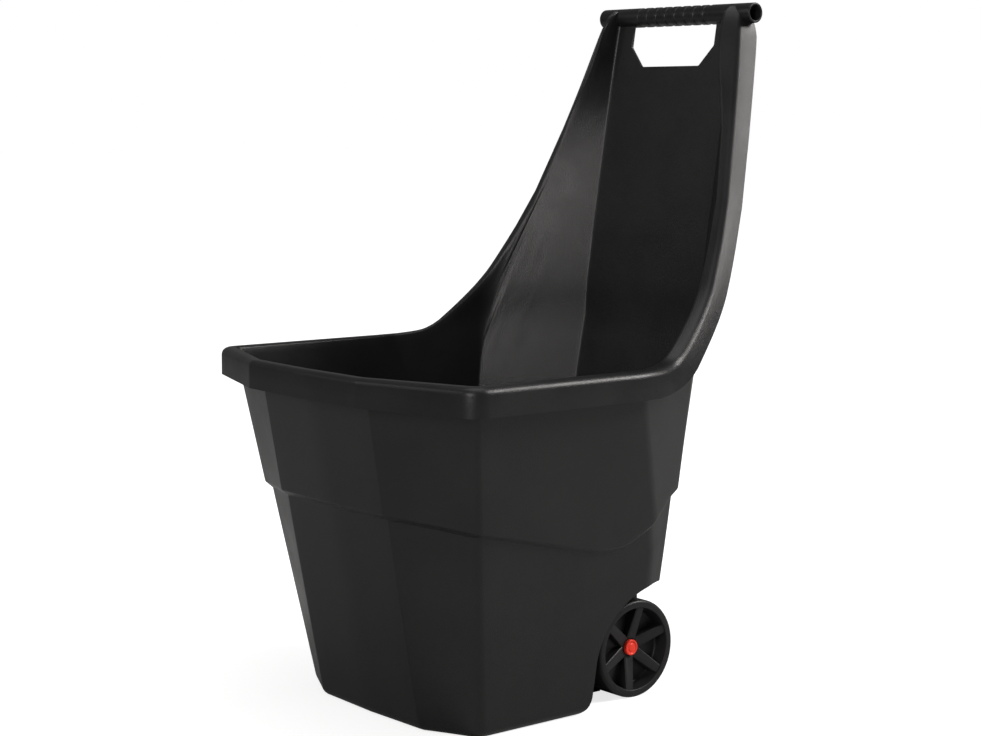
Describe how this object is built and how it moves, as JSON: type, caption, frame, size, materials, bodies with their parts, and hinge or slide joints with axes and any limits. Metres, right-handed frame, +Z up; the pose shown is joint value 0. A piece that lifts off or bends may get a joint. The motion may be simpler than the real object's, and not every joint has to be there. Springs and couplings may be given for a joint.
{
  "type": "garden cart",
  "caption": "Moulded garden cart: deep faceted tub whose back sweeps up to a ribbed tube handle, on two small spoked wheels.",
  "frame": {"origin": "bottom centre of the bounding box, on the floor", "axes": "+Z up, +X across the cart along the axle, +Y from the nose of the tub towards the handle and wheels"},
  "size_m": [0.51, 0.6, 0.84],
  "materials": {
    "tub_plastic": "fine-grained charcoal polypropylene",
    "wheel_plastic": "satin black moulded plastic",
    "axle_steel": "drawn and zinc plated",
    "spring_steel": "pressed spring steel",
    "cap_plastic": "glossy red plastic"
  },
  "bodies": {
    "cart": {"tub": "tub_plastic", "axle": "axle_steel", "retainer_right": "spring_steel", "retainer_left": "spring_steel", "cap_right": "cap_plastic", "cap_left": "cap_plastic"},
    "right_wheel": {"wheel_right": "wheel_plastic"},
    "left_wheel": {"wheel_left": "wheel_plastic"}
  },
  "joints": [
    {"name": "right_wheel_spin", "type": "hinge", "parent": "cart", "child": "right_wheel", "pos_m": [0.124, 0.093, 0.06], "axis": [1, 0, 0], "continuous": true},
    {"name": "left_wheel_spin", "type": "hinge", "parent": "cart", "child": "left_wheel", "pos_m": [-0.124, 0.093, 0.06], "axis": [1, 0, 0], "continuous": true}
  ]
}
